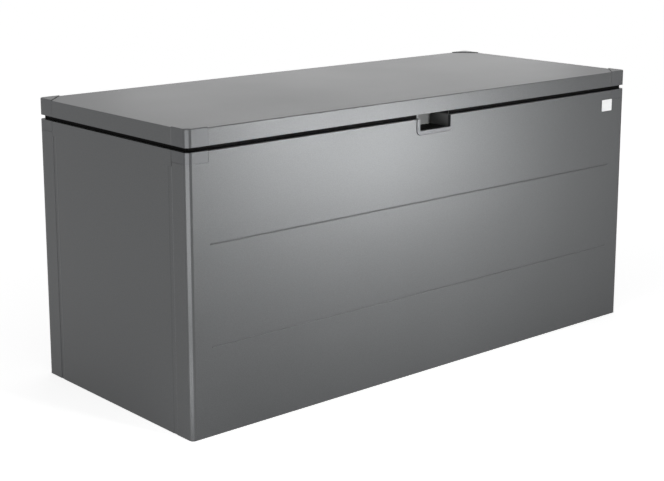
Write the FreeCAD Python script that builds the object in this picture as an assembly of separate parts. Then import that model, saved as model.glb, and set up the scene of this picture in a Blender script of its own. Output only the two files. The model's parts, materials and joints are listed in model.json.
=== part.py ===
import FreeCAD, Part
import math
import os

# Sheet-metal storage box with a lift-up lid. Millimetres, +Z up, the front faces -Y.
# The origin lies on the ground, below the middle of the box.

# Overall size
WIDTH = 1700.0
DEPTH = 700.0
HEIGHT = 800.0

# Sheet and bends
SHEET = 1.0
FOLD = 1.0
CORNER_BEVEL = 8.0
CORNER_BEND = 3.0
SEAM = 0.3

# Lid, and the gap under it
LID_HEIGHT = 47.0
LID_GAP = 12.0
LID_EDGE_RADIUS = 2.5
CAP_STEP = 2.0
LID_FLANGE = 6.0
LID_HINGE_FLANGE = 26.0

# Panel folds
TOP_FLANGE = 25.0
REAR_TOP_FLANGE = 40.0
TOP_RETURN = 12.0
FOLD_REACH = 20.0
BOTTOM_FLANGE = 20.0
SIDE_LIP = 14.0
FOOT_RELIEF = 4.0
STEP_WIDTH = 12.0
STEP_SLOPE = 3.0
STEP_DEPTH = 1.0
STEP_DROP = 41.0

# Pressed beads of the front and rear panels, between the caps' inner ends
BEAD_DROPS = (504.0, 238.0)
BEAD_HEIGHT = 5.0
BEAD_PROUD = 1.5

# Corner caps
CAP_LEG = 66.0
CAP_HEIGHT = 30.0
CAP_SEAM = 0.6
CAP_WALL = 3.0
CAP_TOP_WALL = 4.0
TONGUE_LENGTH = 14.0
TONGUE_WALL = 2.0
TONGUE_PLAY = 0.2

# Rim that stands up under the lid
RIM_WALL = 2.0
RIM_INSET = 9.5
RIM_REAR_INSET = 32.0
RIM_HEIGHT = 44.0
RIM_CLIP_DROP = 21.0
REAR_LIP_LEG = 40.0
REAR_LIP_HEIGHT = 24.0

# Rubber seal on the rim
SEAL_WIDTH = 8.0
SEAL_GRIP = 5.0
SEAL_PLAY = 0.2
RIM_BEND = 3.0
CONTACT_GAP = 0.3

# Grip notch, its trim and the pocket behind it
GRIP_WIDTH = 120.0
GRIP_DROP = 35.0
GRIP_CORNER = 4.0
BEZEL_LAND = 12.0
BEZEL_PROUD = 2.5
BEZEL_WALL = 2.0
BEZEL_COLLAR = 8.0
BEZEL_CORNER = 14.0
BEZEL_BEVEL = 1.5
POCKET_DEPTH = 80.0
POCKET_WALL = 2.0
POCKET_EAR = 15.0
MAT_THICKNESS = 2.0
MAT_GROOVES = 9
MAT_GROOVE_WIDTH = 4.0
MAT_GROOVE_DEPTH = 1.0

# Corner posts
POST_LEG = 50.0
POST_SHEET = 1.5
POST_LIP = 12.0

# Floor and its rails
FLOOR_LEVEL = 30.0
FLOOR_UPTURN = 25.0
FLOOR_CORNER = 13.0
FLOOR_RIB_SPACING = 58.0
FLOOR_RIB_WIDTH = 50.0
FLOOR_RIB_TOP = 34.0
FLOOR_RIB_HEIGHT = 8.0
RAIL_INSET = 120.0
RAIL_WIDTH = 60.0
RAIL_FOOT = 44.0
RAIL_FLANGE = 14.0
RAIL_SHEET = 1.5
RAIL_END_INSET = 70.0
ANCHOR_INSET = 150.0
ANCHOR_RADIUS = 4.5

# Upright stiffeners of the front and rear panels
STIFFENER_SPACING = 560.0
STIFFENER_WIDTH = 60.0
STIFFENER_FOOT = 36.0
STIFFENER_DEPTH = 22.0
STIFFENER_FLANGE = 12.0
STIFFENER_DROP = 51.0

# Ribs under the lid
LID_RIB_INSET = 350.0
LID_RIB_WIDTH = 44.0
LID_RIB_FOOT = 32.0
LID_RIB_DEPTH = 25.0
LID_RIB_FLANGE = 18.0
LID_RIB_FRONT_INSET = 30.0
LID_RIB_POCKET_INSET = 125.0
LID_RIB_REAR_INSET = 75.0

# Hinges
HINGE_INSET = 6.0
HINGE_END_INSET = 250.0
HINGE_LENGTH = 100.0
HINGE_KNUCKLES = 3
KNUCKLE_RADIUS = 5.5
KNUCKLE_PLAY = 0.3
PIN_RADIUS = 2.5
PIN_SEAT = 0.02
PIN_PLAY = 0.06
LEAF_SHEET = 1.5
LEAF_WIDTH = 23.0

# Gas struts
STRUT_INSET = 44.0
STRUT_FOOT_INSET = 90.0
STRUT_FOOT_DROP = 181.0
STRUT_HEAD_INSET = 125.0
STRUT_HEAD_DROP = 57.0
STRUT_TUBE_RADIUS = 9.0
STRUT_TUBE_BORE = 7.5
STRUT_TUBE_START = 14.0
STRUT_TUBE_END = 166.0
STRUT_PLUG = 8.0
STRUT_ROD_RADIUS = 4.0
STRUT_ROD_PLAY = 0.06
STRUT_GLAND = 8.0
STRUT_PISTON = 6.0
STRUT_PISTON_PLAY = 0.08
STRUT_EYE_RADIUS = 10.0
STRUT_EYE_WIDTH = 8.0
STRUT_PIN_RADIUS = 4.0
STRUT_PIN_PLAY = 0.06
STRUT_PIN_GAP = 0.4
STRUT_PIN_END = 2.9
BOSS_RADIUS = 9.0
BRACKET_PLATE = 2.3
FOOT_PLATE_FRONT = 28.0
FOOT_PLATE_HEIGHT = 60.0
FOOT_PLATE_CORNER = 10.0
HEAD_PLATE_HALF = 16.0
HEAD_PLATE_SHEET = 2.5
HEAD_PLATE_DROP = 14.0
HEAD_PLATE_OUT = 14.0
HEAD_PLATE_FLANGE = 25.0

# Cam lock at the back of the grip pocket
LOCK_DROP = 17.0
LOCK_BARREL_RADIUS = 9.5
LOCK_BARREL_PLAY = 0.1
LOCK_FLANGE_RADIUS = 12.0
LOCK_FLANGE = 2.0
LOCK_BARREL_LENGTH = 22.0
LOCK_NUT_WIDTH = 24.0
LOCK_NUT = 5.0
PLUG_RADIUS = 6.5
PLUG_PLAY = 0.06
PLUG_STEM = 3.6
KEYWAY_WIDTH = 1.6
KEYWAY_HEIGHT = 8.0
KEYWAY_DEPTH = 12.0
CAM_REACH = 34.0
CAM_HALF_WIDTH = 6.0
CAM_SHEET = 2.5
CAM_GAP = 0.4
CAM_SCREW_RADIUS = 4.5
CAM_SCREW = 2.0
STRIKER_PLAY = 1.5
STRIKER_SIDE_PLAY = 4.0
STRIKER_HOOK = 18.0
STRIKER_SHEET = 2.5
STRIKER_WIDTH = 14.0
STRIKER_FLANGE = 24.0

# Values that follow from the ones above
SIDE = WIDTH / 2
FACE = DEPTH / 2
LID_BOTTOM = HEIGHT - LID_HEIGHT
LID_SHEET_TOP = HEIGHT - CAP_STEP
LID_UNDERSIDE = LID_SHEET_TOP - SHEET
BODY_TOP = LID_BOTTOM - LID_GAP
STEP_TOP = BODY_TOP - STEP_DROP
CAP_BOTTOM = BODY_TOP - CAP_HEIGHT
BEAD_LEVELS = [BODY_TOP - drop for drop in BEAD_DROPS]
BEAD_HALF_LENGTH = SIDE - CAP_LEG
RIM_TOP = BODY_TOP + RIM_HEIGHT
GRIP_BOTTOM = BODY_TOP - GRIP_DROP
STIFFENER_X = STIFFENER_SPACING / 2
STIFFENER_TOP = BODY_TOP - STIFFENER_DROP
LID_RIB_X = SIDE - LID_RIB_INSET
LID_RIB_REAR = FACE - LID_RIB_REAR_INSET
RAIL_PITCH = FACE - RAIL_INSET
RAIL_LENGTH = WIDTH - 2 * RAIL_END_INSET
ANCHOR_HALF_SPACING = SIDE - ANCHOR_INSET
HINGE_X = SIDE - HINGE_END_INSET
HINGE_Y = FACE - HINGE_INSET
HINGE_Z = BODY_TOP + LID_GAP / 2
STRUT_X = SIDE - STRUT_INSET
STRUT_FOOT_Y = FACE - STRUT_FOOT_INSET
STRUT_FOOT_Z = BODY_TOP - STRUT_FOOT_DROP
STRUT_HEAD_Y = FACE - STRUT_HEAD_INSET
STRUT_HEAD_Z = LID_UNDERSIDE - STRUT_HEAD_DROP
LOCK_Z = BODY_TOP - LOCK_DROP
NOTCH_HALF = GRIP_WIDTH / 2 + BEZEL_WALL + SEAM
POCKET_FLOOR = GRIP_BOTTOM - BEZEL_WALL - SEAM
POCKET_BACK = -FACE + POCKET_DEPTH
CAM_FRONT = POCKET_BACK - LOCK_FLANGE + LOCK_BARREL_LENGTH + LOCK_FLANGE + CAM_GAP
STRIKER_X = CAM_REACH + STRIKER_SIDE_PLAY
HINGE_PLACES = (-HINGE_X, 0, HINGE_X)
SIDE_FLAT_END = FACE - CAP_LEG - SEAM - STEP_WIDTH - STEP_SLOPE

V = FreeCAD.Vector

# How a flat profile is turned into each plane, and the direction in which it is given its length
PLANES = {
    "plan": (FreeCAD.Rotation(), V(0, 0, 1)),
    "side": (FreeCAD.Rotation(V(1, 1, 1), 120), V(1, 0, 0)),
    "front": (FreeCAD.Rotation(V(1, 0, 0), 90), V(0, 1, 0)),
}


def unit(vector):
    return V(vector).normalize()


def turn_of(into, out):
    """Signed angle from one direction of a flat path to the next, to the left positive."""
    return math.atan2(into.x * out.y - into.y * out.x, into.dot(out))


def directions(points, closed):
    ends = points[1:] + points[:1] if closed else points[1:]
    return [unit(end - start) for start, end in zip(points, ends)]


def shifted(points, distance, closed=False):
    """The path moved sideways by distance, to the left positive, with mitred corners."""
    ways = directions(points, closed)
    result = []
    for index, point in enumerate(points):
        into = ways[index - 1] if closed or index > 0 else ways[0]
        out = ways[index] if index < len(ways) else ways[-1]
        left = V(-into.y - out.y, into.x + out.x, 0)
        half = turn_of(into, out) / 2
        result.append(point + unit(left) * (distance / math.cos(half)))
    return result


def corner_arc(before, corner, after, radius):
    """First point, middle and last point of the arc that rounds a corner."""
    into = unit(corner - before)
    out = unit(after - corner)
    half = abs(turn_of(into, out)) / 2
    trim = radius * math.tan(half)
    middle = corner + unit(out - into) * (radius / math.cos(half) - radius)
    return corner - into * trim, middle, corner + out * trim


def path_edges(points, radii, closed=False):
    """Straight lines along the points, with each corner rounded by its radius."""
    edges = []
    count = len(points)
    corners = range(count) if closed else range(1, count - 1)
    arcs = [corner_arc(points[i - 1], points[i], points[(i + 1) % count], r) for i, r in zip(corners, radii)]
    pen = arcs[-1][2] if closed else points[0]
    for (first, middle, last), radius in zip(arcs, radii):
        edges.append(Part.LineSegment(pen, first).toShape())
        if radius > 0:
            edges.append(Part.Arc(first, middle, last).toShape())
        pen = last
    if not closed:
        edges.append(Part.LineSegment(pen, points[-1]).toShape())
    return edges


def placed(face, plane, low, high):
    """The flat profile set in its plane at low and given its length up to high."""
    turn, way = PLANES[plane]
    flat = face.copy()
    flat.Placement = FreeCAD.Placement(way * low, turn)
    return flat.extrude(way * (high - low))


def sheet_bar(plane, points, low, high, wall=SHEET, bends=FOLD):
    """A folded strip of sheet: its outer line, with the wall to the left of it, or to the right if negative.

    Each fold has its inner radius, or is sharp where that is None.
    """
    line = [V(a, b, 0) for a, b in points]
    inner = bends if isinstance(bends, (list, tuple)) else [bends] * (len(line) - 2)
    turns = [turn_of(into, out) for into, out in zip(directions(line, False), directions(line, False)[1:])]
    same = [turn * wall > 0 for turn in turns]
    tight = [0 if bend is None else bend for bend in inner]
    wide = [0 if bend is None else bend + abs(wall) for bend in inner]
    near = [w if inside else t for t, w, inside in zip(tight, wide, same)]
    far = [t if inside else w for t, w, inside in zip(tight, wide, same)]
    other = shifted(line, wall)
    edges = path_edges(line, near)
    back = path_edges(other, far)
    ends = [Part.LineSegment(line[-1], other[-1]).toShape(), Part.LineSegment(other[0], line[0]).toShape()]
    wire = Part.Wire(Part.__sortEdges__(edges + back + ends))
    return placed(Part.Face(wire), plane, low, high)


def block(plane, points, low, high, radii=0.0):
    """A solid bar whose section is the closed outline, with its corners rounded."""
    line = [V(a, b, 0) for a, b in points]
    rounding = radii if isinstance(radii, (list, tuple)) else [radii] * len(line)
    wire = Part.Wire(path_edges(line, rounding, closed=True))
    return placed(Part.Face(wire), plane, low, high)


def rectangle(low_a, low_b, high_a, high_b):
    return [(low_a, low_b), (high_a, low_b), (high_a, high_b), (low_a, high_b)]


def box(low, high):
    return Part.makeBox(high[0] - low[0], high[1] - low[1], high[2] - low[2], V(*low))


def rod(centre, axis, low, high, radius):
    """A round bar along an axis, from low to high on it."""
    start = V(*centre)
    setattr(start, axis, low)
    way = {"x": V(1, 0, 0), "y": V(0, 1, 0), "z": V(0, 0, 1)}[axis]
    return Part.makeCylinder(radius, high - low, start, way)


def joined(shapes):
    """The pieces of one solid, made one."""
    whole = shapes[0].multiFuse(shapes[1:]) if len(shapes) > 1 else shapes[0]
    return whole.removeSplitter()


def group(shapes):
    """Separate solids that share a node."""
    return Part.makeCompound([solid for shape in shapes for solid in shape.Solids])


def mirrored(shape, axis="x"):
    normal = V(1, 0, 0) if axis == "x" else V(0, 1, 0)
    return shape.mirror(V(0, 0, 0), normal)


def round_the_corners(shape):
    """The shape of the front left corner at all four corners."""
    return [shape, mirrored(shape), mirrored(shape, "y"), turned_round(shape)]


def turned_round(shape):
    copy = shape.copy()
    copy.rotate(V(0, 0, 0), V(0, 0, 1), 180)
    return copy


# Bevelled corners


def bevel(inset=0.0):
    """Both ends of the flat across the front left corner, set in from the faces."""
    reach = CORNER_BEVEL + inset * math.tan(math.pi / 8)
    return [(-SIDE + inset, -FACE + reach), (-SIDE + reach, -FACE + inset)]


def bevel_bend(inset, wall=0.0):
    """Radius of the two bends beside that flat, on the inner side of a wall that is set in from the faces."""
    return max(CORNER_BEND - inset - wall, 0)


def front_line(inset=0.0):
    """The bevelled corners of the front, from left to right."""
    left = bevel(inset)
    return left + [(-x, y) for x, y in left[::-1]]


# Body panels


def bead(level):
    """The outside and the hollow of one pressed bead, with round ends."""
    radius = ((BEAD_HEIGHT / 2) ** 2 + BEAD_PROUD**2) / (2 * BEAD_PROUD)
    centre_y = -FACE + radius - BEAD_PROUD
    reach = BEAD_HALF_LENGTH - BEAD_HEIGHT / 2
    forms = []
    for size in (radius, radius - SHEET):
        parts = [rod((0, centre_y, level), "x", -reach, reach, size)]
        parts += [Part.makeSphere(size, V(x, centre_y, level)) for x in (-reach, reach)]
        forms.append(parts[0].multiFuse(parts[1:]))
    front = box((-SIDE, -DEPTH, 0), (SIDE, -FACE + SHEET / 2, HEIGHT))
    return forms[0].common(front), forms[1]


def wide_panel(top_flange):
    """Front or rear panel, seen at the front: a face wrapped round both corners, with folds and beads."""
    wrap_end = -FACE + CAP_LEG
    plan = [
        (-SIDE + SIDE_LIP, wrap_end),
        (-SIDE, wrap_end),
        *front_line(),
        (SIDE, wrap_end),
        (SIDE - SIDE_LIP, wrap_end),
    ]
    bends = [FOLD] + [bevel_bend(0, SHEET)] * len(front_line()) + [FOLD]
    wrap = sheet_bar("plan", plan, 0, BODY_TOP - FOLD_REACH / 2, bends=bends)
    cap_x = SIDE - CAP_LEG
    top = [
        (-FACE, BODY_TOP - FOLD_REACH),
        (-FACE, BODY_TOP),
        (-FACE + top_flange, BODY_TOP),
        (-FACE + top_flange, BODY_TOP - TOP_RETURN),
    ]
    foot = [(-FACE, FOLD_REACH), (-FACE, 0), (-FACE + BOTTOM_FLANGE, 0)]
    panel = joined([
        wrap,
        sheet_bar("side", top, -cap_x, cap_x, wall=-SHEET),
        sheet_bar("side", foot, -cap_x, cap_x),
    ])
    for sign in (-1, 1):
        low, high = sorted((sign * cap_x, sign * (SIDE + SHEET)))
        panel = panel.cut(box((low, -DEPTH, CAP_BOTTOM), (high, 0, HEIGHT)))
    for level in BEAD_LEVELS:
        outside, hollow = bead(level)
        panel = panel.fuse(outside).cut(hollow)
    return panel.removeSplitter()


def front_panel():
    notch = rectangle(-NOTCH_HALF, POCKET_FLOOR, NOTCH_HALF, HEIGHT)
    wall_space = NOTCH_HALF + POCKET_WALL + SEAM
    face_cut = block("front", notch, -DEPTH, -FACE + FOLD + SHEET, [GRIP_CORNER, GRIP_CORNER, 0, 0])
    flange_cut = box((-wall_space, -FACE + SHEET, POCKET_FLOOR), (wall_space, 0, HEIGHT))
    return wide_panel(TOP_FLANGE).cut(face_cut).cut(flange_cut)


def rear_panel():
    return turned_round(wide_panel(REAR_TOP_FLANGE))


def side_panel():
    """Right side panel: its upright edges step in behind the wrapped corners."""
    end = FACE - CAP_LEG - SEAM
    half = [
        (SIDE - SIDE_LIP, end),
        (SIDE - STEP_DEPTH, end),
        (SIDE - STEP_DEPTH, end - STEP_WIDTH),
        (SIDE, SIDE_FLAT_END),
    ]
    plan = [(x, -y) for x, y in half] + half[::-1]
    stepped = sheet_bar("plan", plan, 0, STEP_TOP)
    plain = box((SIDE - SHEET, -end, STEP_TOP), (SIDE, end, BODY_TOP - FOLD_REACH / 2))
    ledge = box((SIDE - STEP_DEPTH - SHEET, SIDE_FLAT_END, STEP_TOP), (SIDE, end, STEP_TOP + SHEET))
    top = [
        (SIDE, BODY_TOP - FOLD_REACH),
        (SIDE, BODY_TOP),
        (SIDE - TOP_FLANGE, BODY_TOP),
        (SIDE - TOP_FLANGE, BODY_TOP - TOP_RETURN),
    ]
    foot = [(SIDE, FOLD_REACH), (SIDE, 0), (SIDE - BOTTOM_FLANGE, 0)]
    foot_end = SIDE_FLAT_END - FOOT_RELIEF
    return joined([
        stepped,
        plain,
        ledge,
        mirrored(ledge, "y"),
        sheet_bar("front", top, -end, end),
        sheet_bar("front", foot, -foot_end, foot_end, wall=-SHEET),
    ])


def corner_post():
    """Folded angle inside the front left corner."""
    inset = SHEET + SEAM
    outer_x = -SIDE + inset
    outer_y = -FACE + inset
    plan = [
        (outer_x + POST_LIP, outer_y + POST_LEG),
        (outer_x, outer_y + POST_LEG),
        *bevel(inset),
        (outer_x + POST_LEG, outer_y),
        (outer_x + POST_LEG, outer_y + POST_LIP),
    ]
    top = CAP_BOTTOM - TONGUE_LENGTH - SHEET
    bend = bevel_bend(inset, POST_SHEET)
    return sheet_bar("plan", plan, FLOOR_LEVEL, top, POST_SHEET, [None, bend, bend, None])


def stiffener():
    """Upright hat section behind the front panel, at the left."""
    back = -FACE + SHEET
    half = STIFFENER_WIDTH / 2
    plan = [
        (-half - STIFFENER_FLANGE, back),
        (-half, back),
        (-STIFFENER_FOOT / 2, back + STIFFENER_DEPTH),
        (STIFFENER_FOOT / 2, back + STIFFENER_DEPTH),
        (half, back),
        (half + STIFFENER_FLANGE, back),
    ]
    bar = sheet_bar("plan", plan, FLOOR_LEVEL + FLOOR_UPTURN + SHEET, STIFFENER_TOP, bends=None)
    hollows = [bead(level)[0] for level in BEAD_LEVELS]
    bar = bar.cut(joined(hollows))
    bar.translate(V(-STIFFENER_X, 0, 0))
    return bar


# Corner caps


def bevelled_wall(leg, inset, wall, low, high):
    """An upright wall round the front left corner, along its bevel."""
    plan = [(-SIDE + inset, -FACE + leg), *bevel(inset), (-SIDE + leg, -FACE + inset)]
    return sheet_bar("plan", plan, low, high, wall, [bevel_bend(inset, wall)] * 2)


def body_cap(deck_y):
    """Moulded cap at the front left, whose deck reaches deck_y in from the front."""
    leg = CAP_LEG - CAP_SEAM
    inner = SHEET + TONGUE_PLAY
    deck_x = TOP_FLANGE + SEAM + RIM_WALL
    skirt = bevelled_wall(leg, 0, CAP_WALL, CAP_BOTTOM + CAP_SEAM, BODY_TOP)
    deck_line = [
        *bevel(),
        (-SIDE + leg, -FACE),
        (-SIDE + leg, -FACE + deck_y),
        (-SIDE + deck_x, -FACE + deck_y),
        (-SIDE + deck_x, -FACE + leg),
        (-SIDE, -FACE + leg),
    ]
    rounding = [CORNER_BEND, CORNER_BEND, 0, 0, CAP_WALL, 0, 0]
    deck = block("plan", deck_line, BODY_TOP - CAP_WALL, BODY_TOP, rounding)
    tongue_low = CAP_BOTTOM + CAP_WALL
    tongue_top = BODY_TOP - CAP_WALL - SHEET
    side_leg = CAP_LEG + TONGUE_LENGTH
    side_tongue = bevelled_wall(side_leg, inner, TONGUE_WALL, tongue_low, tongue_top)
    low_leg = CAP_LEG - SHEET - FOLD - SEAM
    low_tongue = bevelled_wall(low_leg, inner, TONGUE_WALL, CAP_BOTTOM - TONGUE_LENGTH, tongue_low)
    return joined([skirt, deck, side_tongue, low_tongue])


def front_body_cap():
    return body_cap(TOP_FLANGE + SEAM + RIM_WALL)


def rear_body_cap():
    return mirrored(body_cap(REAR_TOP_FLANGE + SEAM + RIM_WALL), "y")


def lid_form(inset, top, edge):
    """A block in the lid's outline, with bevelled corners and round top edges."""
    front = front_line(inset)
    outline = front + [(x, -y) for x, y in front[::-1]]
    form = block("plan", outline, LID_BOTTOM, top, bevel_bend(inset))
    if edge == 0:
        return form
    upper = [e for e in form.Edges if all(abs(v.Z - top) < SEAM for v in e.Vertexes)]
    return form.makeFillet(edge, upper)


def corner_prism(leg, low, high):
    """The three-cornered space at the lid's front left corner."""
    far = CORNER_BEVEL
    plan = [
        (-SIDE - far, -FACE - far),
        (-SIDE + leg + far, -FACE - far),
        (-SIDE - far, -FACE + leg + far),
    ]
    return block("plan", plan, low, high)


def lid_cap(rim_inset):
    """Moulded cap at the lid's front left corner, with tongues behind the sheet, clear of the rim."""
    prism = corner_prism(CAP_LEG - CAP_SEAM, LID_BOTTOM - CAP_WALL, HEIGHT + CAP_WALL)
    outside = lid_form(0, HEIGHT, LID_EDGE_RADIUS)
    inside = lid_form(CAP_WALL, HEIGHT - CAP_TOP_WALL, 0)
    shell = outside.cut(inside).common(prism)
    skin = SHEET + TONGUE_PLAY
    top = LID_UNDERSIDE - TONGUE_PLAY
    tray = lid_form(skin, top, LID_EDGE_RADIUS - skin)
    tray = tray.cut(lid_form(skin + TONGUE_WALL, top - TONGUE_WALL, 0))
    reach = corner_prism(CAP_LEG + TONGUE_LENGTH, LID_BOTTOM + 2 * SHEET, HEIGHT)
    tongues = tray.common(reach.cut(corner_prism(CAP_LEG - TONGUE_LENGTH, LID_BOTTOM, HEIGHT + CAP_WALL)))
    seal_low = RIM_TOP - 2 * SEAL_GRIP
    seal_x = -SIDE + RIM_INSET + SEAL_WIDTH
    seal_y = -FACE + rim_inset + SEAL_WIDTH
    corridor = box((-SIDE, -FACE, seal_low), (seal_x, 0, LID_UNDERSIDE))
    corridor = corridor.fuse(box((-SIDE, -FACE, seal_low), (0, seal_y, LID_UNDERSIDE)))
    seal_space = corridor.common(lid_form(CAP_WALL, LID_UNDERSIDE, 0))
    return joined([shell.cut(seal_space), tongues.cut(corridor)])


# Rim, seal and grip


def rim_section(clip):
    """Outer line of a rim profile, as (distance in from the face, height)."""
    rim_line = RIM_INSET if clip == TOP_FLANGE else RIM_REAR_INSET
    leg = clip + SEAM + RIM_WALL
    return [
        (leg, BODY_TOP - RIM_CLIP_DROP + RIM_WALL),
        (leg, BODY_TOP + RIM_WALL),
        (rim_line + RIM_WALL, BODY_TOP + RIM_WALL),
        (rim_line + RIM_WALL, RIM_TOP),
    ]


def rim_front():
    profile = [(-FACE + depth, z) for depth, z in rim_section(TOP_FLANGE)]
    end = SIDE - CAP_LEG
    start = NOTCH_HALF + POCKET_WALL + SEAM
    right = sheet_bar("side", profile, start, end, RIM_WALL, None)
    return group([right, mirrored(right)])


def rim_rear():
    profile = [(FACE - depth, z) for depth, z in rim_section(REAR_TOP_FLANGE)]
    end = SIDE - CAP_LEG
    return sheet_bar("side", profile, -end, end, -RIM_WALL, None)


def rim_side():
    profile = [(SIDE - depth, z) for depth, z in rim_section(TOP_FLANGE)]
    end = FACE - CAP_LEG
    return sheet_bar("front", profile, -end, end, -RIM_WALL, None)


def rim_angle(leg, rim_y, top):
    """Upright angle on the cap's deck at the front left; rim_y is how far in from the front it stands."""
    outer_x = -SIDE + RIM_INSET
    plan = [(outer_x, -FACE + leg), (outer_x, -FACE + rim_y), (-SIDE + leg, -FACE + rim_y)]
    return sheet_bar("plan", plan, BODY_TOP, top, RIM_WALL, [RIM_BEND])


def rim_corner(rim_y, deck_y):
    """Rim and its foot on the cap's deck at the front left."""
    leg = CAP_LEG - SEAM
    deck_x = TOP_FLANGE + SEAM + RIM_WALL
    wall = rim_angle(leg, rim_y, RIM_TOP)
    foot_line = [
        (-SIDE + RIM_INSET, -FACE + leg),
        (-SIDE + RIM_INSET, -FACE + rim_y),
        (-SIDE + leg, -FACE + rim_y),
        (-SIDE + leg, -FACE + deck_y),
        (-SIDE + deck_x, -FACE + deck_y),
        (-SIDE + deck_x, -FACE + leg),
    ]
    foot = block("plan", foot_line, BODY_TOP, BODY_TOP + RIM_WALL, [0, RIM_BEND + RIM_WALL, 0, 0, 0, 0])
    return joined([wall, foot])


def front_rim_corner():
    return rim_corner(RIM_INSET, TOP_FLANGE + SEAM + RIM_WALL)


def rear_rim_corner():
    """The rear corner has a lip as well, which closes the gap under the lid at the outer line."""
    lip = rim_angle(REAR_LIP_LEG, RIM_INSET, BODY_TOP + REAR_LIP_HEIGHT)
    return mirrored(joined([rim_corner(RIM_REAR_INSET, REAR_TOP_FLANGE + SEAM + RIM_WALL), lip]), "y")


def rim_seal():
    """Rubber strips on the rim: one round each half of the box, and one round the grip pocket."""
    half_wall = RIM_WALL / 2
    side = SIDE - RIM_INSET - half_wall
    front = -FACE + RIM_INSET + half_wall
    rear = FACE - RIM_REAR_INSET - half_wall
    neck = NOTCH_HALF + half_wall
    back = POCKET_BACK + half_wall
    line = [
        V(-side, front, 0), V(-neck, front, 0), V(-neck, back, 0), V(neck, back, 0),
        V(neck, front, 0), V(side, front, 0), V(side, rear, 0), V(-side, rear, 0),
    ]
    bend = RIM_BEND + half_wall
    bends = [bend, 0, 0, 0, 0, bend, bend, bend]

    def ring(width, low, high):
        faces = []
        for sideways in (-width / 2, width / 2):
            radii = [max(radius - sideways, 0) if radius else 0 for radius in bends]
            edges = path_edges(shifted(line, sideways, closed=True), radii, closed=True)
            faces.append(Part.Face(Part.Wire(edges)))
        return placed(faces[0].cut(faces[1]), "plan", low, high)

    low = RIM_TOP - SEAL_GRIP
    slot = ring(RIM_WALL + 2 * SEAL_PLAY, low - SEAL_PLAY, RIM_TOP)
    strips = ring(SEAL_WIDTH, low, LID_UNDERSIDE - CONTACT_GAP).cut(slot)
    pocket_end = neck + SEAL_WIDTH / 2
    for start, near, far in ((pocket_end, -FACE, 0), (-pocket_end - SEAM, -FACE, 0), (-SEAM / 2, 0, FACE)):
        strips = strips.cut(box((start, near, low), (start + SEAM, far, HEIGHT)))
    return group([strips.removeSplitter()])


def grip_bezel():
    """Raised trim round the notch, with a collar that goes through the panel."""
    inner = GRIP_WIDTH / 2
    outer = inner + BEZEL_LAND
    top = BODY_TOP - FOLD
    face = -FACE
    land = block(
        "front",
        rectangle(-outer, GRIP_BOTTOM - BEZEL_LAND, outer, top),
        face - BEZEL_PROUD,
        face,
        [BEZEL_CORNER, BEZEL_CORNER, 0, 0],
    )
    rim = [e for e in land.Edges if all(abs(v.Y - (face - BEZEL_PROUD)) < SEAM for v in e.Vertexes)]
    rim = [e for e in rim if min(v.Z for v in e.Vertexes) < top - SEAM]
    land = land.makeChamfer(BEZEL_BEVEL, rim)
    collar_line = rectangle(-inner - BEZEL_WALL, GRIP_BOTTOM - BEZEL_WALL, inner + BEZEL_WALL, top)
    collar_radius = GRIP_CORNER
    collar = block("front", collar_line, face, face + BEZEL_COLLAR, [collar_radius, collar_radius, 0, 0])
    hole = rectangle(-inner, GRIP_BOTTOM, inner, HEIGHT)
    hole_radius = GRIP_CORNER - BEZEL_WALL / 2
    opening = block("front", hole, -DEPTH, 0, [hole_radius, hole_radius, 0, 0])
    return joined([land, collar]).cut(opening)


def grip_pocket():
    """Moulded pocket behind the notch; its walls take the rim round the hand."""
    start = -FACE + SHEET + SEAM
    inner = NOTCH_HALF
    outer = inner + POCKET_WALL
    low = POCKET_FLOOR - POCKET_WALL
    form = box((-outer, start, low), (outer, POCKET_BACK + POCKET_WALL, RIM_TOP))
    ear = outer + POCKET_EAR
    ears = box((-ear, start, low - POCKET_EAR), (ear, start + POCKET_WALL, BODY_TOP - TOP_RETURN))
    hollow = box((-inner, -FACE, POCKET_FLOOR), (inner, POCKET_BACK, HEIGHT))
    skirt_space = box((-SIDE, -FACE, BODY_TOP - SEAM), (SIDE, -FACE + RIM_INSET, HEIGHT))
    pocket = form.fuse(ears).cut(hollow).cut(skirt_space)
    barrel = LOCK_BARREL_RADIUS + LOCK_BARREL_PLAY
    bore = rod((0, 0, LOCK_Z), "y", POCKET_BACK - SHEET, POCKET_BACK + 2 * POCKET_WALL, barrel)
    return pocket.cut(bore).removeSplitter()


def grip_mat():
    """Grooved rubber mat on the pocket's floor."""
    half = NOTCH_HALF - SEAM
    front = -FACE + BEZEL_COLLAR + SEAM
    top = POCKET_FLOOR + MAT_THICKNESS
    mat = box((-half, front, POCKET_FLOOR), (half, POCKET_BACK - SEAM, top))
    pitch = 2 * half / (MAT_GROOVES + 1)
    for index in range(MAT_GROOVES):
        middle = -half + pitch * (index + 1)
        edge = MAT_GROOVE_WIDTH / 2
        mat = mat.cut(box((middle - edge, front, top - MAT_GROOVE_DEPTH), (middle + edge, 0, top + SHEET)))
    return mat


# Floor


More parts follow.
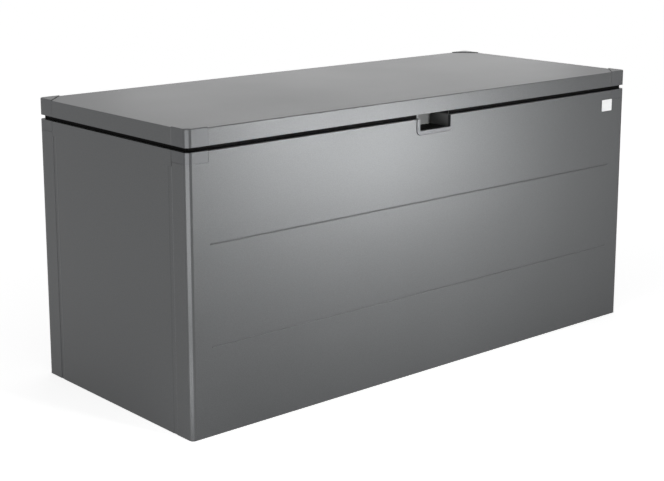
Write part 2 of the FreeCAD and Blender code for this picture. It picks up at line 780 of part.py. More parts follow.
def floor_panel():
    """Floor pan with two pressed ribs between each pair of rails, turned up at the front and rear."""
    end = FACE - SHEET - SEAM
    low = FLOOR_LEVEL - SHEET
    line = [(-end, FLOOR_LEVEL + FLOOR_UPTURN), (-end, low)]
    outer = (RAIL_PITCH + FLOOR_RIB_SPACING) / 2
    inner = (RAIL_PITCH - FLOOR_RIB_SPACING) / 2
    for middle in (-outer, -inner, inner, outer):
        line += [
            (middle - FLOOR_RIB_WIDTH / 2, low),
            (middle - FLOOR_RIB_TOP / 2, low + FLOOR_RIB_HEIGHT),
            (middle + FLOOR_RIB_TOP / 2, low + FLOOR_RIB_HEIGHT),
            (middle + FLOOR_RIB_WIDTH / 2, low),
        ]
    line += [(end, low), (end, FLOOR_LEVEL + FLOOR_UPTURN)]
    length = SIDE - STEP_DEPTH - SHEET - SEAM
    pan = sheet_bar("side", line, -length, length, bends=None)
    top = FLOOR_LEVEL + FLOOR_UPTURN + SHEET
    # The turned-up edges stop at the posts, and the corners are cut for the wrapped panels
    post_x = SIDE - SHEET - SEAM - POST_LEG - SEAM
    for sign in (-1, 1):
        low_x, high_x = sorted((sign * post_x, sign * SIDE))
        pan = pan.cut(box((low_x, -FACE, FLOOR_LEVEL), (high_x, FACE, top)))
    for corner in round_the_corners(corner_prism(FLOOR_CORNER, 0, top)):
        pan = pan.cut(corner)
    for slot in round_the_corners(lip_slot(top)):
        pan = pan.cut(slot)
    return pan.cut(joined(anchor_holes(low - SHEET, FLOOR_LEVEL + SHEET)))


def lip_slot(top):
    """Room in the floor, at the front left, for the lips of the front and left panels."""
    seam_y = -FACE + CAP_LEG
    return box((-SIDE, seam_y - SHEET - SEAM, 0), (-SIDE + SIDE_LIP + SEAM, seam_y + SHEET + 2 * SEAM, top))


def anchor_holes(low, high):
    return [
        rod((x, y, 0), "z", low, high, ANCHOR_RADIUS)
        for x in (-ANCHOR_HALF_SPACING, ANCHOR_HALF_SPACING)
        for y in (-RAIL_PITCH, RAIL_PITCH)
    ]


def floor_rail(middle_y, anchored):
    """Hat rail that stands on the ground and carries the floor."""
    top = FLOOR_LEVEL - SHEET - RAIL_SHEET
    half = RAIL_WIDTH / 2
    line = [
        (middle_y - half - RAIL_FLANGE, top),
        (middle_y - half, top),
        (middle_y - RAIL_FOOT / 2, 0),
        (middle_y + RAIL_FOOT / 2, 0),
        (middle_y + half, top),
        (middle_y + half + RAIL_FLANGE, top),
    ]
    end = RAIL_LENGTH / 2
    rail = sheet_bar("side", line, -end, end, RAIL_SHEET, None)
    if anchored:
        rail = rail.cut(joined(anchor_holes(-SHEET, RAIL_SHEET + SHEET)))
    return rail


# Hinges


def hinge_leaf(hinge_x, lid):
    """One leaf with its knuckles; the lid's leaf has the even ones."""
    pitch = HINGE_LENGTH / HINGE_KNUCKLES
    start = hinge_x - HINGE_LENGTH / 2
    knuckles = range(1, HINGE_KNUCKLES, 2) if lid else range(0, HINGE_KNUCKLES, 2)
    plate_low = LID_BOTTOM - LEAF_SHEET if lid else BODY_TOP
    plate_x = (start, start + HINGE_LENGTH)
    leaf = box((plate_x[0], HINGE_Y - LEAF_WIDTH, plate_low), (plate_x[1], HINGE_Y, plate_low + LEAF_SHEET))
    axis = (0, HINGE_Y, HINGE_Z)
    play = KNUCKLE_PLAY / 2
    for index in range(HINGE_KNUCKLES):
        low = start + index * pitch + play
        high = low + pitch - 2 * play
        if index in knuckles:
            leaf = leaf.fuse(rod(axis, "x", low, high, KNUCKLE_RADIUS))
        else:
            space = KNUCKLE_RADIUS + CONTACT_GAP
            leaf = leaf.cut(rod(axis, "x", low - 2 * play, high + 2 * play, space))
            near = (low - 2 * play, HINGE_Y - space, plate_low - SHEET)
            far = (high + 2 * play, FACE, plate_low + 2 * SHEET)
            leaf = leaf.cut(box(near, far))
    bore = PIN_RADIUS + (PIN_PLAY if lid else PIN_SEAT)
    leaf = leaf.cut(rod(axis, "x", start - SHEET, start + HINGE_LENGTH + SHEET, bore))
    return leaf.removeSplitter()


def hinge_pins():
    axis = (0, HINGE_Y, HINGE_Z)
    half = HINGE_LENGTH / 2
    return group([rod(axis, "x", x - half, x + half, PIN_RADIUS) for x in HINGE_PLACES])


# Lid


def lid_panel():
    """Folded tray with a return flange round its lower edge, cut back at the corners for the caps."""
    outline = rectangle(-SIDE, -FACE, SIDE, FACE)
    flange = block("plan", outline, LID_BOTTOM, LID_BOTTOM + SHEET)
    space = rectangle(-SIDE + LID_FLANGE, -FACE + LID_FLANGE, SIDE - LID_FLANGE, FACE - LID_HINGE_FLANGE)
    flange = flange.cut(block("plan", space, LID_BOTTOM - SHEET, HEIGHT))
    outside = lid_form(0, LID_SHEET_TOP, LID_EDGE_RADIUS)
    inside = lid_form(SHEET, LID_UNDERSIDE, LID_EDGE_RADIUS - SHEET)
    panel = joined([outside.cut(inside), flange])
    for corner in round_the_corners(corner_prism(CAP_LEG, LID_BOTTOM - SHEET, HEIGHT + SHEET)):
        panel = panel.cut(corner)
    return panel


def lid_rib(middle_x, front):
    """Hat section under the lid, from front to rear."""
    half = LID_RIB_WIDTH / 2
    line = [
        (middle_x - half - LID_RIB_FLANGE, LID_UNDERSIDE),
        (middle_x - half, LID_UNDERSIDE),
        (middle_x - LID_RIB_FOOT / 2, LID_UNDERSIDE - LID_RIB_DEPTH),
        (middle_x + LID_RIB_FOOT / 2, LID_UNDERSIDE - LID_RIB_DEPTH),
        (middle_x + half, LID_UNDERSIDE),
        (middle_x + half + LID_RIB_FLANGE, LID_UNDERSIDE),
    ]
    return sheet_bar("front", line, front, LID_RIB_REAR, -SHEET, None)


# Struts, modelled on the right


def strut_length():
    return math.hypot(STRUT_HEAD_Y - STRUT_FOOT_Y, STRUT_HEAD_Z - STRUT_FOOT_Z)


def along_strut(shape):
    """Moves a piece modelled upright at the origin to the strut's foot and line."""
    angle = math.degrees(math.atan2(STRUT_HEAD_Z - STRUT_FOOT_Z, STRUT_HEAD_Y - STRUT_FOOT_Y)) - 90
    copy = shape.copy()
    copy.rotate(V(0, 0, 0), V(1, 0, 0), angle)
    copy.translate(V(STRUT_X, STRUT_FOOT_Y, STRUT_FOOT_Z))
    return copy


def strut_tube():
    """Tube with its plugged foot, its eye and the guide that closes it round the rod."""
    half = STRUT_EYE_WIDTH / 2
    eye = rod((0, 0, 0), "x", -half, half, STRUT_EYE_RADIUS)
    neck = rod((0, 0, 0), "z", 0, STRUT_TUBE_START, half)
    tube = rod((0, 0, 0), "z", STRUT_TUBE_START, STRUT_TUBE_END, STRUT_TUBE_RADIUS)
    hollow = rod((0, 0, 0), "z", STRUT_TUBE_START + STRUT_PLUG, STRUT_TUBE_END - STRUT_GLAND, STRUT_TUBE_BORE)
    guide_radius = STRUT_ROD_RADIUS + STRUT_ROD_PLAY
    guide = rod((0, 0, 0), "z", STRUT_TUBE_START + STRUT_PLUG, STRUT_TUBE_END + SHEET, guide_radius)
    bore = rod((0, 0, 0), "x", -2 * half, 2 * half, STRUT_PIN_RADIUS + STRUT_PIN_PLAY)
    return along_strut(joined([eye, neck, tube]).cut(hollow).cut(guide).cut(bore))


def strut_rod():
    """Rod with its piston and its head, which carries a pin of its own."""
    half = STRUT_EYE_WIDTH / 2
    length = strut_length()
    start = STRUT_TUBE_START + STRUT_PLUG + SHEET
    shaft = rod((0, 0, 0), "z", start, length, STRUT_ROD_RADIUS)
    piston = rod((0, 0, 0), "z", start, start + STRUT_PISTON, STRUT_TUBE_BORE - STRUT_PISTON_PLAY)
    eye = rod((0, 0, length), "x", -half, half, STRUT_EYE_RADIUS)
    pin = rod((0, 0, length), "x", -half - STRUT_PIN_END, 0, STRUT_PIN_RADIUS)
    return along_strut(joined([shaft, piston, eye, pin]))


def strut_foot_bracket():
    """Plate on the side panel with a boss and the pin that the strut turns on."""
    inner_face = SIDE - SHEET
    centre = (0, STRUT_FOOT_Y, STRUT_FOOT_Z)
    outline = rectangle(
        STRUT_FOOT_Y - FOOT_PLATE_FRONT,
        STRUT_FOOT_Z - FOOT_PLATE_HEIGHT / 2,
        SIDE_FLAT_END - SHEET,
        STRUT_FOOT_Z + FOOT_PLATE_HEIGHT / 2,
    )
    plate = block("side", outline, inner_face - BRACKET_PLATE, inner_face, FOOT_PLATE_CORNER)
    eye_out = STRUT_X + STRUT_EYE_WIDTH / 2
    eye_in = STRUT_X - STRUT_EYE_WIDTH / 2
    boss = rod(centre, "x", eye_out + STRUT_PIN_GAP, inner_face - BRACKET_PLATE, BOSS_RADIUS)
    pin = rod(centre, "x", eye_in - STRUT_PIN_END, eye_out + SHEET, STRUT_PIN_RADIUS)
    return joined([plate, boss, pin])


def strut_head_bracket():
    """Angle under the lid with the stud that stops just short of the rod's head."""
    plate_x = STRUT_X + HEAD_PLATE_OUT
    foot_z = STRUT_HEAD_Z - HEAD_PLATE_DROP
    line = [(plate_x - HEAD_PLATE_FLANGE, LID_UNDERSIDE), (plate_x, LID_UNDERSIDE), (plate_x, foot_z)]
    low = STRUT_HEAD_Y - HEAD_PLATE_HALF
    high = STRUT_HEAD_Y + HEAD_PLATE_HALF
    angle = sheet_bar("front", line, low, high, -HEAD_PLATE_SHEET, HEAD_PLATE_SHEET)
    outline = rectangle(low, foot_z, high, HEIGHT)
    trimmed = angle.common(block("side", outline, 0, SIDE, [HEAD_PLATE_DROP, HEAD_PLATE_DROP, 0, 0]))
    eye_out = STRUT_X + STRUT_EYE_WIDTH / 2
    centre = (0, STRUT_HEAD_Y, STRUT_HEAD_Z)
    stud = rod(centre, "x", eye_out + STRUT_PIN_GAP, plate_x - SHEET, STRUT_PIN_RADIUS)
    return joined([trimmed, stud])


# Lock


def lock_housing():
    """Barrel through the pocket's back wall, with a flange in front and a nut behind."""
    axis = (0, 0, LOCK_Z)
    front = POCKET_BACK - LOCK_FLANGE
    barrel = rod(axis, "y", front, front + LOCK_FLANGE + LOCK_BARREL_LENGTH, LOCK_BARREL_RADIUS)
    flange = rod(axis, "y", front, POCKET_BACK, LOCK_FLANGE_RADIUS)
    nut_line = [
        (LOCK_NUT_WIDTH / math.sqrt(3) * math.cos(math.radians(angle)),
         LOCK_Z + LOCK_NUT_WIDTH / math.sqrt(3) * math.sin(math.radians(angle)))
        for angle in range(0, 360, 60)
    ]
    nut = block("front", nut_line, POCKET_BACK + POCKET_WALL, POCKET_BACK + POCKET_WALL + LOCK_NUT)
    bore = rod(axis, "y", front - SHEET, front + 2 * LOCK_BARREL_LENGTH, PLUG_RADIUS + PLUG_PLAY)
    return joined([barrel, flange, nut]).cut(bore)


def lock_plug():
    """Turning plug with its keyway, a square stem and the screw that holds the cam."""
    axis = (0, 0, LOCK_Z)
    front = POCKET_BACK - LOCK_FLANGE
    plug = rod(axis, "y", front, CAM_FRONT - CAM_GAP / 2, PLUG_RADIUS)
    stem = box(
        (-PLUG_STEM, front + SHEET, LOCK_Z - PLUG_STEM),
        (PLUG_STEM, CAM_FRONT + CAM_SHEET, LOCK_Z + PLUG_STEM),
    )
    screw = rod(axis, "y", CAM_FRONT + CAM_SHEET, CAM_FRONT + CAM_SHEET + CAM_SCREW, CAM_SCREW_RADIUS)
    keyway = box(
        (-KEYWAY_WIDTH / 2, front - SHEET, LOCK_Z - KEYWAY_HEIGHT / 2),
        (KEYWAY_WIDTH / 2, front + KEYWAY_DEPTH, LOCK_Z + KEYWAY_HEIGHT / 2),
    )
    return joined([plug, stem, screw]).cut(keyway)


def lock_cam():
    """Cam that points up when the lock is open."""
    low = LOCK_Z - CAM_HALF_WIDTH - SHEET
    outline = rectangle(-CAM_HALF_WIDTH, low, CAM_HALF_WIDTH, LOCK_Z + CAM_REACH)
    cam = block("front", outline, CAM_FRONT, CAM_FRONT + CAM_SHEET, CAM_HALF_WIDTH / 2)
    stem = PLUG_STEM + PLUG_PLAY
    hole = box((-stem, CAM_FRONT - SHEET, LOCK_Z - stem), (stem, CAM_FRONT + 2 * CAM_SHEET, LOCK_Z + stem))
    return cam.cut(hole)


def lock_striker():
    """Hook under the lid that the turned cam holds down."""
    foot = LOCK_Z - CAM_HALF_WIDTH - STRIKER_PLAY
    line = [
        (STRIKER_X + STRIKER_FLANGE, LID_UNDERSIDE),
        (STRIKER_X, LID_UNDERSIDE),
        (STRIKER_X, foot),
        (STRIKER_X - STRIKER_HOOK, foot),
    ]
    middle = CAM_FRONT + CAM_SHEET / 2
    half = STRIKER_WIDTH / 2
    return sheet_bar("front", line, middle - half, middle + half, STRIKER_SHEET, SHEET)


def main():
    post = corner_post()
    front_cap = front_body_cap()
    rear_cap = rear_body_cap()
    front_corner = front_rim_corner()
    rear_corner = rear_rim_corner()
    lid_front_cap = lid_cap(RIM_INSET)
    lid_rear_cap = mirrored(lid_cap(RIM_REAR_INSET), "y")
    upright = stiffener()
    rail = floor_rail(RAIL_PITCH, True)
    side = side_panel()
    rim = rim_side()
    tube = strut_tube()
    piston_rod = strut_rod()
    foot_bracket = strut_foot_bracket()
    head_bracket = strut_head_bracket()
    nodes = {
        "front_panel": front_panel(),
        "rear_panel": rear_panel(),
        "side_panel_left": mirrored(side),
        "side_panel_right": side,
        "corner_post_front_left": post,
        "corner_post_front_right": mirrored(post),
        "corner_post_rear_left": mirrored(post, "y"),
        "corner_post_rear_right": turned_round(post),
        "front_stiffener_left": upright,
        "front_stiffener_right": mirrored(upright),
        "rear_stiffener_left": mirrored(upright, "y"),
        "rear_stiffener_right": turned_round(upright),
        "body_cap_front_left": front_cap,
        "body_cap_front_right": mirrored(front_cap),
        "body_cap_rear_left": rear_cap,
        "body_cap_rear_right": mirrored(rear_cap),
        "rim_front": rim_front(),
        "rim_rear": rim_rear(),
        "rim_left": mirrored(rim),
        "rim_right": rim,
        "rim_corner_front_left": front_corner,
        "rim_corner_front_right": mirrored(front_corner),
        "rim_corner_rear_left": rear_corner,
        "rim_corner_rear_right": mirrored(rear_corner),
        "rim_seal": rim_seal(),
        "grip_bezel": grip_bezel(),
        "grip_pocket": grip_pocket(),
        "grip_mat": grip_mat(),
        "floor_panel": floor_panel(),
        "floor_rail_front": mirrored(rail, "y"),
        "floor_rail_middle": floor_rail(0, False),
        "floor_rail_rear": rail,
        "lock_housing": lock_housing(),
        "lock_plug": lock_plug(),
        "lock_cam": lock_cam(),
        "lock_striker": lock_striker(),
        "hinge_body_leaves": group([hinge_leaf(x, lid=False) for x in HINGE_PLACES]),
        "hinge_lid_leaves": group([hinge_leaf(x, lid=True) for x in HINGE_PLACES]),
        "hinge_pins": hinge_pins(),
        "lid_panel": lid_panel(),
        "lid_cap_front_left": lid_front_cap,
        "lid_cap_front_right": mirrored(lid_front_cap),
        "lid_cap_rear_left": lid_rear_cap,
        "lid_cap_rear_right": mirrored(lid_rear_cap),
        "lid_rib_left": lid_rib(-LID_RIB_X, -FACE + LID_RIB_FRONT_INSET),
        "lid_rib_middle": lid_rib(0, -FACE + LID_RIB_POCKET_INSET),
        "lid_rib_right": lid_rib(LID_RIB_X, -FACE + LID_RIB_FRONT_INSET),
        "strut_tube_left": mirrored(tube),
        "strut_tube_right": tube,
        "strut_rod_left": mirrored(piston_rod),
        "strut_rod_right": piston_rod,
        "strut_foot_bracket_left": mirrored(foot_bracket),
        "strut_foot_bracket_right": foot_bracket,
        "strut_head_bracket_left": mirrored(head_bracket),
        "strut_head_bracket_right": head_bracket,
    }
    os.makedirs("parts", exist_ok=True)
    for name, shape in nodes.items():
        shape.exportStep("parts/" + name + ".step")
        if not shape.isValid():
            print("not valid:", name)
    print(len(nodes), "nodes")


main()
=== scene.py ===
import json
import math

import bpy
from mathutils import Euler, Matrix, Vector


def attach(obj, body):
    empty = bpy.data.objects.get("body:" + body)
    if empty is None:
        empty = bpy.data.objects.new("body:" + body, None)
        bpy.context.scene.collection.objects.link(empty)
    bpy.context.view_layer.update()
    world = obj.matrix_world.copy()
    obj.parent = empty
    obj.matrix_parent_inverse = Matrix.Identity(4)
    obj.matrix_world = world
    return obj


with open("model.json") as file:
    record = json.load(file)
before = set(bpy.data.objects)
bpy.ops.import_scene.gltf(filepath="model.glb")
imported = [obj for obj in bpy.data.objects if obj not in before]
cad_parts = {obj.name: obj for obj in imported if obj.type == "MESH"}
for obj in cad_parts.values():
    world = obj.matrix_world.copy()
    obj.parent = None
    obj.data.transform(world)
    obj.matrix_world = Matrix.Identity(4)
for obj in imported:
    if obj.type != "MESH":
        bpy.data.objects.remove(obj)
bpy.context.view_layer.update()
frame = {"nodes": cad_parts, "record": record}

# Outdoor storage box of folded steel sheet with a lift-up lid.
# Metres, +Z up, the front faces -Y, the origin on the ground below the middle of the box.

NODES = frame["nodes"]
SIDES = (("left", -1), ("right", 1))

# Body and lid
HALF_WIDTH = 0.850
HALF_DEPTH = 0.350
BODY_TOP = 0.741
LID_UNDERSIDE = 0.797
SHEET = 0.001

# Pocket's rim: painted shade, a near-black band from below the body's top to above it, where the gap under
# the lid is in shade
GAP_SHADE_BELOW = 0.003
GAP_SHADE_ABOVE = 0.002

# Bevelled corners: the folds' rounding starts and ends this far inside the faces
FOLD_START = 0.0150
FOLD_END = 0.0090
FOLD_DROP = 0.0024

# Hinges
HINGE_MIDDLES = (-0.6, 0.0, 0.6)
HINGE_SCREWS_Y = 0.330
HINGE_SCREW_SPACING = 0.036
LEAF_SHEET = 0.0015
LID_LEAF_UNDERSIDE = 0.7515

# Ribs under the lid, each with the front end of its rows of rivets
LID_RIBS = ((-0.5, -0.3), (0.0, -0.205), (0.5, -0.3))
RIB_RIVETS_REAR = 0.255
RIB_FLANGE_MIDDLE = 0.031
RIVETS_IN_A_ROW = 5

# Floor rails
FLOOR_LEVEL = 0.030
RAIL_RIVETS_Y = (-0.267, -0.193, -0.037, 0.037, 0.193, 0.267)
RAIL_RIVETS_START = -0.72
RAIL_RIVET_SPACING = 0.24
RIVETS_ON_A_RAIL = 7

# Corner posts
POST_INNER_FACE = 0.0028
POST_SCREW_INSET = 0.03
POST_SCREW_HEIGHTS = (0.12, 0.34, 0.56)

# Struts: the eyes' middle, their width, and their pins at the foot and the head as Y and Z
STRUT_X = 0.806
EYE_HALF_WIDTH = 0.004
RING_FROM_EYE = 0.00175
FOOT_PIN = (0.260, 0.560)
HEAD_PIN = (0.225, 0.740)

# White plate
PLATE_SIZE = (0.048, 0.0012, 0.036)
PLATE_X = 0.7645
PLATE_Z = 0.695

# Stage: the backdrop is seen as white, and the floor's glow and the light on it add up to white
WHITE = (1, 1, 1, 1)
BACKDROP = 1.01
LIGHT_ALL_ROUND = 0.38
FLOOR_RADIUS = 30.0
FLOOR_GLOW = 0.67
FLOOR_GLOW_EDGE = 0.004
# Painted shadow round the box's foot: the glow that gloss sees at the box, and how far out it rises to full
PAINTED_SHADOW_GLOW = 0.46
PAINTED_SHADOW_WIDTH = 0.8


# Making nodes and colours


def linear(hex_colour):
    """A colour written as sRGB hex, turned to the linear values that the shaders use."""
    channels = [int(hex_colour[i:i + 2], 16) / 255 for i in (1, 3, 5)]
    return [c / 12.92 if c <= 0.04045 else ((c + 0.055) / 1.055) ** 2.4 for c in channels] + [1.0]


def add_node(tree, kind, values=None, links=None, **settings):
    """One node with its own settings, the values of its inputs, and what is linked to them.

    Inputs go by name, and by number where a node has several of one name. A Mix node's inputs are 0 for the
    factor, 2 and 3 for two numbers, and 6 and 7 for two colours.
    """
    node = tree.nodes.new(kind)
    for name, value in settings.items():
        setattr(node, name, value)
    for name, value in (values or {}).items():
        node.inputs[name].default_value = value
    for name, output in (links or {}).items():
        tree.links.new(output, node.inputs[name])
    return node


def surface(name, values):
    """A new material with its shader, its output and the object's own coordinates."""
    material = bpy.data.materials.new(name)
    material.use_nodes = True
    tree = material.node_tree
    tree.nodes.clear()
    shader = add_node(tree, "ShaderNodeBsdfPrincipled", values)
    add_node(tree, "ShaderNodeOutputMaterial", links={"Surface": shader.outputs["BSDF"]})
    place = add_node(tree, "ShaderNodeTexCoord")
    return material, tree, shader, place.outputs["Object"]


def grain(tree, place, size, detail=2.0, stretch=(1.0, 1.0, 1.0)):
    """Noise whose patches are about size metres across; Blender's own are half a metre at scale 1."""
    scaled = add_node(tree, "ShaderNodeMapping", {"Scale": stretch}, {"Vector": place})
    noise = add_node(
        tree, "ShaderNodeTexNoise",
        {"Scale": 0.5 / size, "Detail": detail}, {"Vector": scaled.outputs["Vector"]},
    )
    return noise.outputs["Fac"]


def between(tree, factor, low, high, start=0.3, end=0.7):
    """A number that goes from low to high as the pattern goes from start to end."""
    ramp = add_node(
        tree, "ShaderNodeMapRange",
        {"From Min": start, "From Max": end, "To Min": low, "To Max": high}, {"Value": factor},
    )
    return ramp.outputs["Result"]


def tones(tree, factor, *stops):
    """A colour that runs through the stops, each given as (place, hex colour)."""
    ramp = add_node(tree, "ShaderNodeValToRGB", links={"Fac": factor})
    band = ramp.color_ramp
    while len(band.elements) < len(stops):
        band.elements.new(0.5)
    for element, (position, colour) in zip(band.elements, stops):
        element.position = position
        element.color = linear(colour)
    return ramp.outputs["Color"]


def relief(tree, shader, height, depth, strength=1.0):
    """Bump of the given depth in metres on the shader's normal."""
    bump = add_node(tree, "ShaderNodeBump", {"Strength": strength, "Distance": depth}, {"Height": height})
    tree.links.new(bump.outputs["Normal"], shader.inputs["Normal"])
    return bump


def distances(tree, place):
    """How far a point is from the middle of the box, along X and along Y."""
    axes = add_node(tree, "ShaderNodeSeparateXYZ", links={"Vector": place})
    outward = [
        add_node(tree, "ShaderNodeMath", links={0: axes.outputs[axis]}, operation="ABSOLUTE")
        for axis in ("X", "Y")
    ]
    return [node.outputs["Value"] for node in outward]


# Finishes


def round_the_folds(tree, place, bump):
    """Rounds the folds on each side of the bevelled corners, as bump that falls away over 6 mm."""
    along_x, along_y = distances(tree, place)
    height = add_node(
        tree, "ShaderNodeMath", operation="MULTIPLY",
        links={
            0: between(tree, along_x, 0.0, 1.0, HALF_WIDTH - FOLD_START, HALF_WIDTH - FOLD_END),
            1: between(tree, along_y, 0.0, -1.0, HALF_DEPTH - FOLD_START, HALF_DEPTH - FOLD_END),
        },
    )
    fold = add_node(
        tree, "ShaderNodeBump",
        {"Strength": 1.0, "Distance": FOLD_DROP}, {"Height": height.outputs["Value"]},
    )
    tree.links.new(fold.outputs["Normal"], bump.inputs["Normal"])


def powder_coated_steel():
    """Metallic powder coat: aluminium flake in a satin polyester film.

    The flake makes it shine like a dull metal, so a lamp draws a broad soft glow, and the film flows out to
    the slight orange peel of a stoved coat.
    """
    material, tree, shader, place = surface("powder_coated_steel", {"Metallic": 0.8})
    # The flake is 0.05 mm and is drawn at 1.2 mm, the finest that shows
    flake = grain(tree, place, size=0.0012, detail=1.0)
    cloud = grain(tree, place, size=0.25, detail=3.0)
    mixed = add_node(tree, "ShaderNodeMix", {0: 0.3}, {2: flake, 3: cloud}, data_type="FLOAT")
    colour = tones(tree, mixed.outputs[0], (0.25, "#4f5051"), (0.5, "#555657"), (0.75, "#5b5c5d"))
    tree.links.new(colour, shader.inputs["Base Color"])
    tree.links.new(between(tree, cloud, low=0.41, high=0.45), shader.inputs["Roughness"])
    peel = grain(tree, place, size=0.0025, detail=1.0)
    round_the_folds(tree, place, relief(tree, shader, peel, depth=0.00002, strength=0.5))
    return material


def moulded_grey_plastic():
    """Glass-filled polyamide with the coat's metallic flake in it, moulded in the panels' grey.

    The spark-eroded grain of its mould makes it a little duller and more even than the coat beside it.
    """
    material, tree, shader, place = surface("moulded_grey_polyamide", {"Metallic": 0.78, "IOR": 1.53})
    # The eroded grain is 0.1 mm and is drawn at 0.8 mm
    erosion = grain(tree, place, size=0.0008)
    flow = grain(tree, place, size=0.03)
    colour = tones(tree, flow, (0.3, "#515254"), (0.7, "#575859"))
    tree.links.new(colour, shader.inputs["Base Color"])
    tree.links.new(between(tree, flow, low=0.42, high=0.46), shader.inputs["Roughness"])
    round_the_folds(tree, place, relief(tree, shader, erosion, depth=0.00004, strength=0.5))
    return material


def moulded_pocket_plastic():
    """Plain light grey polypropylene of the grip pocket, moulded from an eroded mould.

    There is no flake in it, so it scatters the light and shows no glow. Its rim carries painted shade: a
    near-black band at the body's top, where the gap under the lid is in shade.
    """
    material, tree, shader, place = surface("moulded_light_grey_polypropylene", {"IOR": 1.49})
    flow = grain(tree, place, size=0.02, detail=3.0)
    colour = tones(tree, flow, (0.3, "#767777"), (0.7, "#7d7e7e"))
    axes = add_node(tree, "ShaderNodeSeparateXYZ", links={"Vector": place})
    # Painted shade: near-black in a band at the body's top, where the gap under the lid is in shade
    gap_shade = between(
        tree, axes.outputs["Z"], low=0.0, high=1.0, start=BODY_TOP - GAP_SHADE_BELOW, end=BODY_TOP + GAP_SHADE_ABOVE
    )
    shaded_colour = add_node(
        tree, "ShaderNodeMix", {7: linear("#0c0c0c")}, {0: gap_shade, 6: colour}, data_type="RGBA"
    )
    tree.links.new(shaded_colour.outputs[2], shader.inputs["Base Color"])
    tree.links.new(between(tree, flow, low=0.5, high=0.6), shader.inputs["Roughness"])
    # The eroded grain is 0.1 mm and is drawn at 0.8 mm
    relief(tree, shader, grain(tree, place, size=0.0008), depth=0.00004, strength=0.5)
    return material


def hot_dip_galvanised_steel():
    """Hot-dip galvanised sheet: zinc crystals 8 to 15 mm wide, each with a slightly different sheen."""
    material, tree, shader, place = surface("hot_dip_galvanised_steel", {"Metallic": 1.0})
    crystal_size = 0.011
    spangle = add_node(
        tree, "ShaderNodeTexVoronoi", {"Scale": 1 / crystal_size}, {"Vector": place}, feature="F1"
    )
    crystal = add_node(tree, "ShaderNodeSeparateColor", links={"Color": spangle.outputs["Color"]})
    colour = tones(tree, crystal.outputs["Red"], (0.0, "#a3a6a8"), (0.5, "#b2b4b5"), (1.0, "#bfc1c1"))
    tree.links.new(colour, shader.inputs["Base Color"])
    sheen = between(tree, crystal.outputs["Green"], low=0.36, high=0.54, start=0.0, end=1.0)
    tree.links.new(sheen, shader.inputs["Roughness"])
    relief(tree, shader, grain(tree, place, size=0.006, detail=3.0), depth=0.00004, strength=0.4)
    return material


def black_plastic_darkened_as_shade():
    """Black polypropylene, extruded and moulded: matt, its shine broken up by a fine leather grain."""
    # Partly real black plastic, partly painted shade: colour and shine are set darker than black plastic's
    # own, for the deep shade in the gap under the lid
    material, tree, shader, place = surface(
        "black_polypropylene_darkened_as_shade", {"IOR": 1.49, "Specular IOR Level": 0.03}
    )
    # The grain is 0.3 mm and is drawn at 0.9 mm
    grain_size = 0.0009
    leather = add_node(
        tree, "ShaderNodeTexVoronoi", {"Scale": 1 / grain_size}, {"Vector": place}, feature="F1"
    )
    wear = grain(tree, place, size=0.02, detail=3.0)
    # Painted shade in part: #050505 to #090909 is darker than black plastic itself
    colour = tones(tree, wear, (0.3, "#050505"), (0.7, "#090909"))
    tree.links.new(colour, shader.inputs["Base Color"])
    tree.links.new(between(tree, wear, low=0.5, high=0.64), shader.inputs["Roughness"])
    relief(tree, shader, leather.outputs["Distance"], depth=0.00005, strength=0.6)
    return material


def extruded_black_rubber():
    """Extruded EPDM rubber: nearly black and dull, finely pitted, with a greyish bloom."""
    material, tree, shader, place = surface(
        "extruded_epdm_rubber", {"IOR": 1.5, "Specular IOR Level": 0.25}
    )
    bloom = grain(tree, place, size=0.012, detail=4.0)
    colour = tones(tree, bloom, (0.35, "#101010"), (0.75, "#1b1b1a"))
    tree.links.new(colour, shader.inputs["Base Color"])
    tree.links.new(between(tree, bloom, low=0.68, high=0.84), shader.inputs["Roughness"])
    relief(tree, shader, grain(tree, place, size=0.0006), depth=0.00005, strength=0.5)
    return material


def zinc_plated_steel():
    """Zinc plate on pressed steel: cold silver with a faint blue and yellow cast from the passivation."""
    material, tree, shader, place = surface("zinc_plated_steel", {"Metallic": 1.0})
    cast = grain(tree, place, size=0.012)
    colour = tones(tree, cast, (0.3, "#b6bac0"), (0.55, "#c4c5c4"), (0.75, "#cac5b4"))
    tree.links.new(colour, shader.inputs["Base Color"])
    # The press leaves lines 0.2 mm apart along X
    drawn = grain(tree, place, size=0.0002, stretch=(0.05, 1.0, 1.0))
    tree.links.new(between(tree, drawn, low=0.26, high=0.4), shader.inputs["Roughness"])
    relief(tree, shader, drawn, depth=0.00001, strength=0.3)
    return material


def stoved_black_enamel():
    """Black stove enamel on a drawn tube: deep black, a clear gloss with a slight ripple."""
    material, tree, shader, place = surface(
        "stoved_black_enamel", {"Coat Weight": 0.4, "Coat Roughness": 0.12, "IOR": 1.5}
    )
    ripple = grain(tree, place, size=0.004)
    colour = tones(tree, ripple, (0.3, "#0f0f10"), (0.7, "#171718"))
    tree.links.new(colour, shader.inputs["Base Color"])
    tree.links.new(between(tree, ripple, low=0.3, high=0.38), shader.inputs["Roughness"])
    relief(tree, shader, ripple, depth=0.00003, strength=0.4)
    return material


def ground_chromed_steel():
    """Ground and hard-chromed steel: bright, with the fine rings that grinding leaves."""
    material, tree, shader, place = surface("ground_chromed_steel", {"Metallic": 1.0})
    # The grinding marks are 0.02 mm apart and are drawn at 0.3 mm
    rings = grain(tree, place, size=0.0003, detail=1.0, stretch=(0.2, 0.2, 1.0))
    colour = tones(tree, rings, (0.3, "#dcdddf"), (0.7, "#e6e7e8"))
    tree.links.new(colour, shader.inputs["Base Color"])
    tree.links.new(between(tree, rings, low=0.08, high=0.16), shader.inputs["Roughness"])
    relief(tree, shader, rings, depth=0.000004, strength=0.3)
    return material


